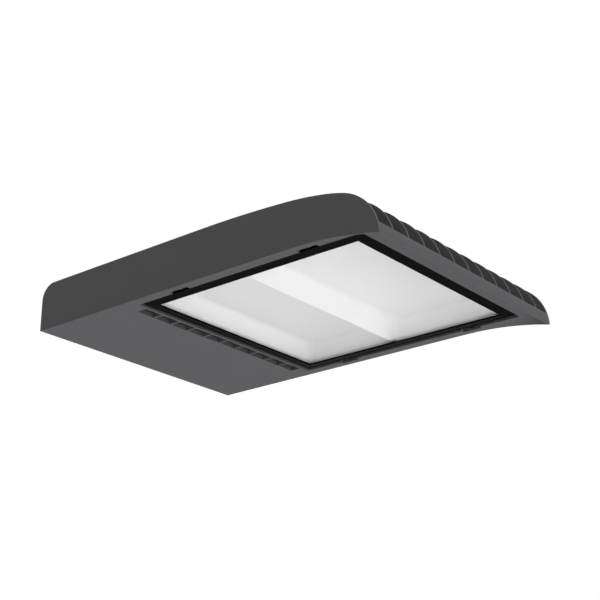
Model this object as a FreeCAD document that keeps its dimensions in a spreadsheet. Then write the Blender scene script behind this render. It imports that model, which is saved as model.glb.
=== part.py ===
import FreeCAD, Part
import math
import os
import re
import Sketcher
from FreeCAD import Rotation, Vector

# A shoebox area light: a flat die-cast LED head that bolts by its rear face to an arm or a pole.
# X runs across the light, Y from the nose to the arm, Z up. The nose is at -Y. The origin is the middle of
# the arm bolt pattern on the rear face. Every piece is drawn from the flat underside up, with the rear face
# at Y = 0, and is then lowered by the height of the bolts above that underside.

SIZES = {
    # the whole light
    "length": 512.0,  # from the rear face to the tip of the nose
    "width": 340.0,
    "height": 60.0,  # from the flat underside to the top
    "nose_drop": 14.0,  # how far the nose hangs below the flat underside
    "arm_line": 21.0,  # height of the arm bolts above the underside
    # the casting's walls
    "side_wall": 3.0,
    "floor_plate": 3.0,
    "rear_wall": 5.0,
    "back_corner": 20.0,  # outer radius of the top rear edge
    "back_chamfer": 5.0,  # the same edge inside the bay
    "base_edge": 1.0,  # radius of the bottom rear edge
    # the crown: four tangent arcs from the flat top down to the nose
    "crown_radius": 1750.0,
    "brow_radius": 450.0,
    "cheek_radius": 200.0,
    "crown_angle": 4.0,
    "brow_angle": 11.0,
    "cheek_angle": 18.0,
    "nose_angle": 88.0,
    # the skirt under the nose
    "skirt_run": 113.0,  # from where the bottom edge starts to drop to the tip of the nose
    "skirt_cove": 18.0,
    "skirt_rim": 2.0,
    "lip_cove": 17.0,
    "lip_rim": 2.5,
    # the driver bay and the vents in front of it
    "bay_length": 137.5,
    "bay_front_wall": 3.0,
    "vent_gap": 14.5,
    "rim_width": 6.0,  # ledge that the lid's gasket lies on
    "rim_plate": 4.0,
    "rim_start": 22.0,  # from the rear face to the lid's recess
    # the light engine's chamber and its finned roof
    "engine_rear_wall": 3.1,
    "engine_front_wall": 3.3,
    "engine_side_wall": 3.0,
    "nose_room": 29.0,  # from the chamber's front wall to the tip of the nose
    "nose_sill": -0.5,  # height that the floor between the fins slopes down to at the tip of the nose
    "trough_width": 8.0,  # between the chamber's side wall and the light's
    "engine_height": 38.6,
    "roof_plate": 3.5,
    "forehead_run": 20.7,  # the roof slopes down to the front wall over this length
    "forehead_drop": 13.6,
    "fin_count": 11.0,
    "outer_cell": 24.0,  # from the middle of the outermost fin to the side wall
    "fin_wall": 2.4,
    "rib_height": 46.0,  # of the fins' low ends in the vents
    # the wireway through the vents
    "wireway_width": 20.0,
    "wireway_floor": 6.0,
    "wireway_height": 32.0,
    "wireway_line": 30.0,
    "wireway_bore": 6.0,
    # the arm bolts and the wire entry
    "arm_bolt_spacing": 76.0,
    "arm_bolt_hole": 5.5,
    "arm_pad": 11.0,
    "arm_pad_depth": 4.0,
    "pad_margin": 2.0,
    "wire_entry_hole": 11.0,
    # the lid
    "cover_gap": 0.6,
    "cover_plate": 2.5,
    "cover_rib": 1.0,
    "cover_rib_front": 6.0,
    "cover_rib_rear": 26.0,
    "cover_skirt": 2.0,
    "cover_skirt_gap": 1.0,
    "cover_skirt_depth": 6.0,
    "gasket_height": 2.0,
    "gasket_width": 4.0,
    "gasket_gap": 0.1,
    # the lid's hinge
    "hinge_line": 54.0,
    "hinge_setback": 7.25,  # from the bay's front wall forward to the hinge axis
    "hinge_pin": 2.0,
    "hinge_knuckle": 5.0,
    "hinge_fit": 0.05,
    "hinge_side_play": 0.8,
    "hinge_boss": 4.0,
    "hinge_socket": 3.0,  # how deep the pin's hole in the boss is
    "hinge_end_gap": 0.5,
    "pin_head": 3.4,
    "pin_head_height": 1.5,
    # the lid's captive screws
    "cover_screw_inset": 38.0,
    "cover_screw_side": 37.0,  # from the side wall's inside
    "cover_screw_shank": 2.5,
    "cover_screw_head": 5.0,
    "cover_screw_head_height": 3.2,
    "cover_screw_fit": 0.08,
    "cover_screw_tip": 43.0,
    "cover_slot": 0.6,
    "cover_slot_depth": 1.4,
    "cover_well_gap": 0.8,
    "cover_boss": 7.5,
    "cover_boss_foot": 51.4,
    "post": 7.0,
    "post_height": 49.6,
    "post_hole": 3.5,
    "post_depth": 3.0,  # of the post's hole below the screw's tip
    "ring_wall": 1.0,
    "ring_gap": 0.1,
    "ring_radius": 4.2,
    # the lens and its frame
    "frame_gap": 3.0,
    "bezel_width": 13.1,
    "bezel_face": 0.3,  # height of the bezel's inner edge above the underside
    "bezel_fall": 1.3,  # how much higher the bezel's outer edge lies
    "glass_seat": 2.2,
    "glass_plate": 4.0,
    "glass_overlap": 10.6,
    "glass_gap": 0.3,
    "glass_corner": 1.5,
    "seal_inset": 0.5,
    "seal_width": 4.5,
    "seal_height": 2.0,
    "lug_width": 21.5,
    "lug_reach": 7.5,
    "lug_plate": 2.0,
    "notch_width": 26.5,
    "notch_reach": 5.0,
    "notch_gap": 0.2,
    "notch_inset": 67.8,  # from the chamber's end wall to the middle of a notch
    "frame_screw": 1.75,
    "frame_screw_head": 3.0,
    "frame_screw_head_height": 1.8,
    "frame_screw_reach": 9.0,
    "lug_boss_cap": 3.0,
    # the white trays
    "tray_gap": 1.0,
    "tray_flange": 5.5,
    "tray_rear_flange": 3.0,
    "tray_clear": 1.4,
    "tray_wall": 1.0,
    "tray_ceiling": 33.0,
    "tray_flare": 28.0,
    "tray_corner": 12.0,
    "tray_cove": 7.0,
    "tray_window": 27.0,  # from the mouth's edge in to the opening in the ceiling
    "ridge_offset": 16.7,  # how far the ridge between the trays lies behind the middle of the chamber
    "ridge_width": 3.0,
    "ridge_gap": 0.2,
    "diffuser_plate": 2.0,
    "diffuser_overlap": 3.0,
    "diffuser_gap": 0.1,  # round the diffuser in its window
    # the boards
    "board_plate": 1.6,
    "board_inset": 22.0,
    "led_margin": 12.0,
    "led_size": 5.0,
    "led_height": 0.8,
    "leds_across": 12.0,
    "leds_along": 5.0,
    "board_screw": 1.5,
    "board_screw_head": 2.6,
    "board_screw_reach": 2.4,
    "board_screw_inset": 5.0,
    # the driver
    "driver_side_room": 67.0,  # from the driver's case to the side wall
    "driver_ear": 10.0,
    "wiring_room": 63.5,  # from the rear face to the driver
    "driver_height": 36.0,
    "driver_setback": 6.0,
    "driver_ear_plate": 3.0,
    "driver_pad": 5.0,
    "driver_edge": 3.0,
    "driver_screw": 2.0,
    "driver_screw_head": 3.5,
    "driver_screw_head_height": 2.4,
    "driver_screw_inset": 12.0,
    # the surge protector
    "surge_width": 30.0,
    "surge_length": 34.0,
    "surge_height": 24.0,
    "surge_ear": 8.0,
    "surge_ear_plate": 3.0,
    "surge_edge": 2.0,
    "surge_side": 22.0,  # from the side wall to the protector's middle
    "surge_centre": 85.0,
    "small_pad": 3.0,
    # the terminal block and the ground screw
    "terminal_length": 48.0,
    "terminal_width": 20.0,
    "terminal_height": 18.0,
    "terminal_line": 76.0,
    "terminal_centre": 34.0,
    "terminal_pitch": 9.6,
    "terminal_well": 2.6,
    "terminal_well_depth": 3.0,
    "terminal_screw_inset": 4.0,
    "small_screw": 1.5,
    "small_screw_head": 2.8,
    "small_screw_head_height": 2.0,
    "ground_line": 60.0,
    "ground_screw": 2.5,
    "ground_screw_head": 4.5,
    "ground_screw_head_height": 3.0,
    "ground_lug": 5.5,
    "ground_lug_plate": 1.2,
    # fits, leads and rubber
    "screw_fit": 0.1,
    "screw_bite": 4.0,
    "tip_gap": 0.5,
    "roof_tip_gap": 0.2,
    "frame_tip_gap": 1.0,
    "press_fit": 0.01,
    "rubber_fit": 0.05,
    "lead_radius": 1.2,
    "lead_gap": 0.2,
    "link_radius": 1.0,
    "link_side": 49.0,
    "link_pitch": 4.0,
    "line_exit": 20.0,  # from the driver's rear side to where a lead leaves its end
    "neutral_exit": 10.0,
    "line_run": 18.0,  # from the driver's end to where a lead turns to the rear
    "neutral_run": 12.0,
    "neutral_rise": 6.0,  # how much higher the neutral lead runs than the line lead
    "crossing": 10.0,  # from the terminal block to the leads that cross in front of it
    "surge_crossing": 7.0,
    "surge_spot": 3.5,  # from the terminal block's left end to each lead's entry
    "line_spot": 9.0,
    "neutral_spot": 20.0,
    "surge_exit": 5.0,
    "ground_reach": 4.5,
    "ground_bend": 16.0,
    "positive_exit": 22.0,
    "negative_exit": 34.0,
    "led_lead_offset": 1.8,
    "riser_start": 4.0,  # the leads rise to the boards between these two distances
    "riser_end": 14.0,
    "grommet_wall": 2.0,
    "grommet_flange": 2.0,
    "grommet_reach": 3.0,
    "bushing_wall": 3.5,
    "bushing_recess": 0.5,
}

# Places that follow from the sizes. All are distances: forward of the rear face, out from the middle or up
# from the flat underside.
PLACES = {
    "inside": "width / 2 - side_wall",
    "bay_front": "bay_length + bay_front_wall",
    "vent_front": "bay_front + vent_gap",
    "engine_rear": "vent_front + engine_rear_wall",
    "engine_nose": "length - nose_room",
    "engine_front": "engine_nose - engine_front_wall",
    "sill_slope": "(floor_plate - nose_sill) / nose_room",
    "engine_side": "inside - trough_width",
    "engine_half": "engine_side - engine_side_wall",
    "roof_top": "engine_height + roof_plate",
    "rim_top": "height - cover_rib - cover_plate - gasket_gap - gasket_height",
    "rim_under": "rim_top - rim_plate",
    "cover_under": "height - cover_rib - cover_plate",
    "hinge_axis": "bay_front + hinge_setback",
    "fin_line": "inside - outer_cell",
    "fin_pitch": "2 * fin_line / (fin_count - 1)",
    "vent_side": "fin_line - fin_wall / 2",
    "knuckle_inner": "fin_line + fin_wall / 2 + hinge_side_play",
    "knuckle_outer": "inside - hinge_boss - hinge_side_play",
    "wireway_centre": "vent_side - wireway_width / 2",
    "frame_side": "engine_half - frame_gap",
    "frame_rear": "engine_rear + frame_gap",
    "frame_front": "engine_front - frame_gap",
    "glass_side": "frame_side - bezel_width + glass_overlap",
    "glass_rear": "frame_rear + bezel_width - glass_overlap",
    "glass_front": "frame_front - bezel_width + glass_overlap",
    "frame_top": "glass_seat + glass_plate",
    "seal_top": "frame_top + seal_height",
    "seal_side": "frame_side - seal_inset",
    "lug_under": "frame_top - lug_plate",
    "rear_notch": "engine_rear + notch_inset",
    "front_notch": "engine_front - notch_inset",
    "tray_side": "engine_half - tray_gap",
    "tray_rear": "engine_rear + tray_clear",
    "tray_front": "engine_front - tray_clear",
    "mouth_side": "tray_side - tray_flange",
    "mouth_rear": "tray_rear + tray_rear_flange",
    "mouth_front": "engine_front - tray_flange",
    "ridge_line": "(engine_rear + engine_front) / 2 - ridge_offset",
    "ridge_rear": "ridge_line - ridge_width / 2",
    "ridge_front": "ridge_line + ridge_width / 2",
    "tray_top": "tray_ceiling + tray_wall",
    "tray_sill": "seal_top + tray_wall",
    "board_under": "engine_height - board_plate",
    "driver_front": "bay_length - driver_setback",
    "driver_end": "inside - driver_side_room",
    "driver_base": "floor_plate + driver_pad",
    "pad_top": "floor_plate + small_pad",
    "cover_screw_line": "inside - cover_screw_side",
    "surge_line": "inside - surge_side",
    "lead_line": "engine_height - lead_radius - lead_gap",
    "crown_drop": "crown_radius * (1 - cos(crown_angle))",
    "brow_drop": "brow_radius * (cos(crown_angle) - cos(brow_angle))",
    "cheek_drop": "cheek_radius * (cos(brow_angle) - cos(cheek_angle))",
    "nose_fall": "height + nose_drop - crown_drop - brow_drop - cheek_drop",
    "nose_radius": "nose_fall / (cos(cheek_angle) - cos(nose_angle))",
    "cheek_end": "length - nose_radius * (sin(nose_angle) - sin(cheek_angle))",
    "brow_end": "cheek_end - cheek_radius * (sin(cheek_angle) - sin(brow_angle))",
    "crown_end": "brow_end - brow_radius * (sin(brow_angle) - sin(crown_angle))",
    "crown_start": "crown_end - crown_radius * sin(crown_angle)",
    "skirt_start": "length - skirt_run",
    "skirt_radius": "(skirt_run ^ 2 + nose_drop ^ 2) / (2 * nose_drop)",
    "lip_radius": "(lip_cove ^ 2 + nose_drop ^ 2) / (2 * nose_drop)",
}

# How a flat outline stands in space: across and up the outline, then the way it is thickened.
TOP = Rotation()  # X, Y, up
SIDE = Rotation(Vector(1, 1, 1), 120)  # Y, Z, towards +X
FRONT = Rotation(Vector(1, 0, 0), 90)  # X, Z, towards the nose
PLANE_ROLES = {"top": "XY_Plane", "side": "YZ_Plane", "front": "XZ_Plane"}
PLANE_TURNS = {"top": TOP, "side": SIDE, "front": FRONT}
BEYOND = 20.0  # how far a cut runs past the face that it opens
OVERLAP = 1.0  # how far a joined block runs into its neighbour, and a hole out of its own
TOUCH = 0.01  # two heights closer than this are one
BEND = 0.45  # how much of a lead's shorter run its bend may take up
LOFT_START = 0.06  # share of the skirt's run that its hollow's loft leaves out, as it would start flat
LOFT_SECTIONS = 5
SOCKET_DEPTH = 0.6  # share of a screw head's height
SOCKET_SIZE = 0.5  # share of a screw head's radius
TERMINALS = 3

DOC = FreeCAD.newDocument("area_light")
SHEET = DOC.addObject("Spreadsheet::Sheet", "Sizes")
for row, (name, size) in enumerate(SIZES.items(), start=1):
    SHEET.set(f"A{row}", name)
    SHEET.set(f"B{row}", str(size))
    SHEET.setAlias(f"B{row}", name)
DOC.recompute()
PARTS = []


def link(formula):
    """The formula with every size and place written out in cells of the sheet."""

    def swap(found):
        word = found.group()
        if word in SIZES:
            return "Sizes." + word
        if word in PLACES:
            return "(" + link(PLACES[word]) + ")"
        return word

    return re.sub(r"[a-z][a-z_]*", swap, str(formula))


def value(formula):
    """What a formula comes to, in millimetres."""
    return float(SHEET.evalExpression(link(formula)))


def bind(item, **formulas):
    """Ties properties to formulas; two underscores stand for a dot."""
    for name, formula in formulas.items():
        item.setExpression(name.replace("__", "."), link(formula))
    return item


def place(item, x="0", y="0", z="0"):
    return bind(item, Placement__Base__x=x, Placement__Base__y=y, Placement__Base__z=z)


def keep(item, label):
    """Names a finished piece and lowers it to the origin's height."""
    item.Label = label
    bind(item, Placement__Base__z="-arm_line")
    PARTS.append(item)
    return item


# ---- outlines -------------------------------------------------------------------------------------------


def rectangle(left, right, low, high):
    return [(left, low), (right, low), (right, high), (left, high)]


def circle(across, up, radius):
    return [(across, up, radius, "circle")]


def draw(sketch, outline):
    """Adds a closed outline of corners. A corner with a radius and a side is reached by an arc."""
    if outline[0][-1] == "circle":
        across, up, radius, _ = outline[0]
        centre = Vector(value(across), value(up), 0)
        ring = sketch.addGeometry(Part.Circle(centre, Vector(0, 0, 1), value(radius)), False)
        pin(sketch, ring, 3, across, up)
        tie(sketch, Sketcher.Constraint("Radius", ring, value(radius)), radius)
        return
    points = [Vector(value(corner[0]), value(corner[1]), 0) for corner in outline]
    ends = []
    for index, start in enumerate(points):
        following = (index + 1) % len(points)
        stop = points[following]
        if len(outline[following]) == 2:
            edge = sketch.addGeometry(Part.LineSegment(start, stop), False)
            ends.append((edge, 1, 2))
            continue
        radius, side = outline[following][2:]
        edge = sketch.addGeometry(arc_between(start, stop, value(radius), side), False)
        ends.append((edge, 1, 2) if side == "left" else (edge, 2, 1))
        tie(sketch, Sketcher.Constraint("Radius", edge, value(radius)), radius)
    for index, (edge, first, last) in enumerate(ends):
        after, after_first, _ = ends[(index + 1) % len(ends)]
        sketch.addConstraint(Sketcher.Constraint("Coincident", edge, last, after, after_first))
        pin(sketch, edge, first, outline[index][0], outline[index][1])


def arc_between(start, stop, radius, side):
    """The short arc from start to stop that bends to the side named."""
    chord = stop - start
    turn = 1 if side == "left" else -1
    rise = math.sqrt(max(radius**2 - chord.Length**2 / 4, 0))
    normal = Vector(-chord.y, chord.x, 0).normalize()
    centre = (start + stop) / 2 + normal * (turn * rise)
    first, last = (start, stop) if side == "left" else (stop, start)
    angles = [math.atan2(point.y - centre.y, point.x - centre.x) for point in (first, last)]
    return Part.ArcOfCircle(Part.Circle(centre, Vector(0, 0, 1), radius), *angles)


def tie(sketch, constraint, formula):
    index = sketch.addConstraint(constraint)
    sketch.setExpression(f"Constraints[{index}]", link(formula))


def pin(sketch, edge, point, across, up):
    tie(sketch, Sketcher.Constraint("DistanceX", -1, 1, edge, point, value(across)), across)
    tie(sketch, Sketcher.Constraint("DistanceY", -1, 1, edge, point, value(up)), up)


# ---- loose solids, joined and cut from each other -------------------------------------------------------


def box(name, x, y, z):
    """A block between two places along each axis."""
    item = DOC.addObject("Part::Box", name)
    spans = [f"({high}) - ({low})" for low, high in (x, y, z)]
    bind(item, Length=spans[0], Width=spans[1], Height=spans[2])
    return place(item, x[0], y[0], z[0])


def across_box(name, half, y, z):
    return box(name, (f"-({half})", half), y, z)


def rod(name, radius, x, y, z, length, along="up"):
    """A cylinder that starts at a place and runs up, along +X or along the nose's way, -Y."""
    item = DOC.addObject("Part::Cylinder", name)
    turns = {
        "up": Rotation(),
        "right": Rotation(Vector(0, 1, 0), 90),
        "nose": Rotation(Vector(1, 0, 0), 90),
    }
    item.Placement.Rotation = turns[along]
    bind(item, Radius=radius, Height=length)
    return place(item, x, y, z)


def prism(name, plane, outlines, start, stop):
    """A flat outline thickened from one distance to another, square to its plane."""
    sketch = DOC.addObject("Sketcher::SketchObject", name + "_outline")
    sketch.Placement.Rotation = PLANE_TURNS[plane]
    axis = {"top": "z", "side": "x", "front": "y"}[plane]
    offset = f"-({start})" if plane == "front" else start
    sketch.setExpression(f"Placement.Base.{axis}", link(offset))
    for outline in outlines:
        draw(sketch, outline)
    item = DOC.addObject("Part::Extrusion", name)
    item.Base = sketch
    item.DirMode = "Normal"
    item.Solid = True
    return bind(item, LengthFwd=f"({stop}) - ({start})")


def join(name, pieces):
    item = DOC.addObject("Part::MultiFuse", name)
    item.Shapes = pieces
    item.Refine = True
    return item


def cut(name, base, tools):
    item = DOC.addObject("Part::Cut", name)
    item.Base = base
    item.Tool = tools[0] if len(tools) == 1 else join(name + "_tools", tools)
    item.Refine = True
    return item


def common(name, pieces):
    item = DOC.addObject("Part::MultiCommon", name)
    item.Shapes = pieces
    return item


def group(label, pieces):
    """Several like solids that share one name."""
    item = DOC.addObject("Part::Compound", label)
    item.Links = pieces
    return keep(item, label)


# ---- bodies built up feature by feature -----------------------------------------------------------------


def body(label):
    return DOC.addObject("PartDesign::Body", label)


def outline_in(owner, plane, outlines, offset):
    sketch = owner.newObject("Sketcher::SketchObject", owner.Name + "_outline")
    origin_plane = next(
        item for item in owner.Origin.OriginFeatures if item.Role == PLANE_ROLES[plane]
    )
    sketch.AttachmentSupport = [(origin_plane, "")]
    sketch.MapMode = "FlatFace"
    bind(sketch, AttachmentOffset__Base__z=offset)
    for outline in outlines:
        draw(sketch, outline)
    return sketch


def pad(owner, plane, outlines, start, stop, taper="0"):
    sketch = outline_in(owner, plane, outlines, start)
    feature = owner.newObject("PartDesign::Pad", owner.Name + "_pad")
    feature.Profile = sketch
    return bind(feature, Length=f"({stop}) - ({start})", TaperAngle=taper)


def pocket(owner, plane, outlines, start, stop, taper="0"):
    sketch = outline_in(owner, plane, outlines, start)
    feature = owner.newObject("PartDesign::Pocket", owner.Name + "_pocket")
    feature.Profile = sketch
    feature.Reversed = True
    return bind(feature, Length=f"({stop}) - ({start})", TaperAngle=taper)


def round_edges(owner, radius, chosen):
    """Rounds the edges of a body's last feature that a test picks out."""
    DOC.recompute()
    base = owner.Tip
    names = [f"Edge{n}" for n, edge in enumerate(base.Shape.Edges, start=1) if chosen(edge)]
    feature = owner.newObject("PartDesign::Fillet", owner.Name + "_round")
    feature.Base = (base, names)
    return bind(feature, Radius=radius)


def upright(edge):
    return edge.BoundBox.XLength < TOUCH and edge.BoundBox.YLength < TOUCH


def leaning(edge):
    return edge.BoundBox.ZLength > TOUCH


def level_at(formula):
    height = value(formula)
    return lambda edge: abs(edge.BoundBox.ZMin - height) < TOUCH and edge.BoundBox.ZLength < TOUCH


# ---- the casting ----------------------------------------------------------------------------------------


def housing_block():
    """The whole side outline, as wide as the light."""
    outline = [
        ("0", "base_edge", "base_edge", "left"),
        ("0", "height - back_corner"),
        ("-back_corner", "height", "back_corner", "left"),
        ("-crown_start", "height"),
        ("-crown_end", "height - crown_drop", "crown_radius", "left"),
        ("-brow_end", "height - crown_drop - brow_drop", "brow_radius", "left"),
        ("-cheek_end", "nose_fall - nose_drop", "cheek_radius", "left"),
        ("-length", "-nose_drop", "nose_radius", "left"),
        ("-skirt_start", "0", "skirt_radius", "right"),
        ("-base_edge", "0"),
    ]
    return prism("housing_block", "side", [outline], "-width / 2", "width / 2")


def fins():
    """Eleven slabs from the bay's front wall to beyond the nose."""
    slabs = []
    for index in range(int(value("fin_count"))):
        middle = f"({index} - (fin_count - 1) / 2) * fin_pitch"
        x = (f"{middle} - fin_wall / 2", f"{middle} + fin_wall / 2")
        y = (f"-length - {BEYOND}", "-bay_front")
        slabs.append(box("fin", x, y, (f"-{BEYOND}", f"height + {OVERLAP}")))
    return slabs


def open_air():
    """The channels between the fins, the vents through the floor and the troughs beside the chamber."""
    above = f"height + {BEYOND}"
    outline = [
        ("-bay_front", "floor_plate"),
        ("-bay_front", above),
        (f"-length - {BEYOND}", above),
        (f"-length - {BEYOND}", f"nose_sill - {BEYOND} * sill_slope"),
        ("-engine_nose", "floor_plate"),
        ("-engine_nose", "roof_top - forehead_drop - roof_plate"),
        ("-engine_nose + forehead_run + roof_plate", "roof_top"),
        ("-vent_front", "roof_top"),
        ("-vent_front", "floor_plate"),
    ]
    channels = prism("channels", "side", [outline], "-inside", "inside")
    vents = across_box("vents", "vent_side", ("-vent_front", "-bay_front"), (f"-{BEYOND}", "floor_plate"))
    left = box("trough", ("-inside", "-engine_side"), ("-engine_nose", "-vent_front"), ("floor_plate", above))
    right = box("trough", ("engine_side", "inside"), ("-engine_nose", "-vent_front"), ("floor_plate", above))
    wireway = box(
        "wireway",
        ("vent_side - wireway_width", "vent_side"),
        ("-vent_front", "-bay_front"),
        ("wireway_floor", "wireway_floor + wireway_height"),
    )
    air = join("air", [channels, vents, left, right])
    low_ends = across_box("low_ends", "inside", ("-vent_front", "-bay_front"), ("rib_height", above))
    return join("open_air", [cut("air_between_fins", air, fins() + [wireway] + lug_bosses()), low_ends])


def notch_spans():
    """The two stretches along each side that hold the frame's lugs."""
    return [
        (f"-({notch}) - notch_width / 2", f"-({notch}) + notch_width / 2")
        for notch in ("rear_notch", "front_notch")
    ]


def lug_bosses():
    """Blocks in the troughs that the frame's screws bite into."""
    bosses = []
    for low, high in notch_spans():
        for side in ("", "-"):
            near, far = f"{side}(engine_side - {OVERLAP})", f"{side}(inside + {OVERLAP})"
            x = (near, far) if side == "" else (far, near)
            y = (f"{low} - side_wall", f"{high} + side_wall")
            top = "frame_top + frame_screw_reach + lug_boss_cap"
            bosses.append(box("lug_boss", x, y, (f"floor_plate - {OVERLAP}", top)))
    return bosses


def chamber():
    """The light engine's chamber, open at the bottom, and the four notches beside it."""
    outline = [
        ("-engine_rear", f"-{BEYOND}"),
        ("-engine_rear", "engine_height"),
        ("-engine_front + forehead_run", "engine_height"),
        ("-engine_front", "engine_height - forehead_drop"),
        ("-engine_front", f"-{BEYOND}"),
    ]
    pieces = [prism("chamber", "side", [outline], "-engine_half", "engine_half")]
    for span in notch_spans():
        z = (f"-{BEYOND}", "frame_top + notch_gap")
        pieces.append(across_box("notch", "engine_half + notch_reach", span, z))
    return pieces


def bay():
    """The driver bay with the ledge for the lid's gasket and the lid's recess."""
    outline = [
        ("-bay_length", "floor_plate"),
        ("-rear_wall", "floor_plate"),
        ("-rear_wall", "rim_under - back_chamfer"),
        ("-rear_wall - back_chamfer", "rim_under"),
        ("-bay_length", "rim_under"),
    ]
    room = prism("bay_room", "side", [outline], "-inside", "inside")
    mouth = across_box(
        "bay_mouth",
        "inside - rim_width",
        ("-bay_front + rim_width", "-rim_start - rim_width"),
        (f"rim_under - {OVERLAP}", f"height + {BEYOND}"),
    )
    recess = across_box(
        "lid_recess", "inside", ("-bay_front", "-rim_start"), ("rim_top", f"height + {BEYOND}")
    )
    return [room, mouth, recess]


def skirt_section(distance):
    """The hollow under the nose, cut across at a distance from the rear face."""
    run = f"(({distance}) - skirt_start)"
    drop = f"(skirt_radius - sqrt(skirt_radius ^ 2 - {run} ^ 2))"
    radius = f"((skirt_cove ^ 2 + {drop} ^ 2) / (2 * {drop}))"
    rim = "(width / 2 - skirt_rim)"
    flat = f"({rim} - skirt_cove)"
    below = f"-nose_drop - {BEYOND}"
    return [
        (f"-{rim}", below),
        (rim, below),
        (rim, f"-{drop}"),
        (flat, "0", radius, "left"),
        (f"-{flat}", "0"),
        (f"-{rim}", f"-{drop}", radius, "left"),
    ]


def nose_hollow():
    """The coved hollow that leaves a thin skirt round the underside of the nose."""
    first = f"(skirt_start + {LOFT_START} * skirt_run)"
    sections = []
    for index in range(LOFT_SECTIONS):
        distance = f"{first} + {index / (LOFT_SECTIONS - 1)} * (length + {OVERLAP} - {first})"
        sketch = DOC.addObject("Sketcher::SketchObject", "skirt_section")
        sketch.Placement.Rotation = FRONT
        sketch.setExpression("Placement.Base.y", link(f"-({distance})"))
        draw(sketch, skirt_section(distance))
        sections.append(sketch)
    sides = DOC.addObject("Part::Loft", "skirt_sides")
    sides.Sections = sections
    sides.Solid = True
    below = f"-nose_drop - {BEYOND} - {OVERLAP}"
    lip = "length - lip_rim"
    outline = [
        ("-skirt_start", below),
        ("-skirt_start", "0"),
        (f"-({lip} - lip_cove)", "0"),
        (f"-({lip})", "-nose_drop", "lip_radius", "left"),
        (f"-({lip})", below),
    ]
    front = prism("lip_hollow", "side", [outline], "-width / 2", "width / 2")
    return common("nose_hollow", [sides, front])


def bay_fittings():
    """Posts, pads and bosses that stand in the bay, and the hinge's lugs and bosses."""
    pieces = []
    foot = f"floor_plate - {OVERLAP}"
    for side in ("", "-"):
        x = f"{side}cover_screw_line"
        pieces.append(rod("cover_post", "post", x, "-cover_screw_inset", foot, f"post_height - ({foot})"))
        x = f"{side}arm_bolt_spacing / 2"
        rise = f"arm_pad_depth + {OVERLAP}"
        pieces.append(rod("arm_pad", "arm_pad", x, f"-rear_wall + {OVERLAP}", "arm_line", rise, "nose"))
        low, high = "driver_end - pad_margin", "driver_end + driver_ear + pad_margin"
        x = (low, high) if side == "" else (f"-({high})", f"-({low})")
        pieces.append(box("driver_pad", x, ("-driver_front", "-wiring_room"), (foot, "driver_base")))
        lug = ("fin_line - fin_wall / 2", "fin_line + fin_wall / 2")
        boss = ("inside - hinge_boss", f"inside + {OVERLAP}")
        for name, (low, high) in (("hinge_lug", lug), ("hinge_boss", boss)):
            x = low if side == "" else f"-({high})"
            wide = f"({high}) - ({low})"
            pieces.append(rod(name, "hinge_knuckle", x, "-hinge_axis", "hinge_line", wide, "right"))
        x = lug if side == "" else (f"-({lug[1]})", f"-({lug[0]})")
        y = ("-hinge_axis - hinge_knuckle", "-hinge_axis + hinge_knuckle")
        pieces.append(box("hinge_web", x, y, (f"rib_height - {OVERLAP}", "hinge_line")))
    half = "terminal_length / 2"
    pieces.append(
        box(
            "terminal_pad",
            (f"-terminal_line - {half}", f"-terminal_line + {half}"),
            ("-terminal_centre - terminal_width / 2", "-terminal_centre + terminal_width / 2"),
            (foot, "pad_top"),
        )
    )
    reach = "surge_length / 2 + surge_ear"
    pieces.append(
        box(
            "surge_pad",
            ("-surge_line - surge_ear", "-surge_line + surge_ear"),
            (f"-surge_centre - {reach}", f"-surge_centre + {reach}"),
            (foot, "pad_top"),
        )
    )
    rise = f"driver_base - ({foot})"
    pieces.append(rod("ground_boss", "ground_lug", "ground_line", "-terminal_centre", foot, rise))
    return pieces


def housing_holes():
    holes = []
    outside = str(OVERLAP)
    through = f"rear_wall + arm_pad_depth + 2 * {OVERLAP}"
    for side in ("", "-"):
        x = f"{side}arm_bolt_spacing / 2"
        holes.append(rod("arm_bolt_hole", "arm_bolt_hole", x, outside, "arm_line", through, "nose"))
        x = f"{side}cover_screw_line"
        low, deep = "cover_screw_tip - post_depth", f"post_height - cover_screw_tip + post_depth + {OVERLAP}"
        holes.append(rod("cover_screw_hole", "post_hole", x, "-cover_screw_inset", low, deep))
        low, high = f"vent_side - {OVERLAP}", "inside - hinge_boss + hinge_socket"
        x = low if side == "" else f"-({high})"
        bore, wide = "hinge_pin + press_fit", f"({high}) - ({low})"
        holes.append(rod("hinge_hole", bore, x, "-hinge_axis", "hinge_line", wide, "right"))
    holes.append(rod("wire_entry", "wire_entry_hole", "0", outside, "arm_line", through, "nose"))
    start, deep = f"-bay_length + {OVERLAP}", f"engine_rear - bay_length + 2 * {OVERLAP}"
    holes.append(rod("wireway_hole", "wireway_bore", "wireway_centre", start, "wireway_line", deep, "nose"))
    for x, y in frame_screw_spots():
        deep = "frame_screw_reach + frame_tip_gap"
        holes.append(rod("frame_screw_hole", "frame_screw + press_fit", x, y, "frame_top", deep))
    for x, y in board_screw_spots():
        low, deep = f"engine_height - {OVERLAP}", f"board_screw_reach + roof_tip_gap + {OVERLAP}"
        holes.append(rod("board_screw_hole", "board_screw + press_fit", x, y, low, deep))
    deep = f"screw_bite + tip_gap + {OVERLAP}"
    for x, y in driver_screw_spots():
        low = "driver_base - screw_bite - tip_gap"
        holes.append(rod("driver_screw_hole", "driver_screw + press_fit", x, y, low, deep))
    for x, y in surge_screw_spots() + terminal_screw_spots():
        low = "pad_top - screw_bite - tip_gap"
        holes.append(rod("small_screw_hole", "small_screw + press_fit", x, y, low, deep))
    low = "driver_base - screw_bite - tip_gap"
    holes.append(rod("ground_hole", "ground_screw + press_fit", "ground_line", "-terminal_centre", low, deep))
    return holes


def housing():
    shell = cut("housing_shell", housing_block(), [open_air(), nose_hollow()] + chamber() + bay())
    cast = join("housing_cast", [shell] + bay_fittings())
    keep(cut("housing", cast, housing_holes()), "housing")


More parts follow.
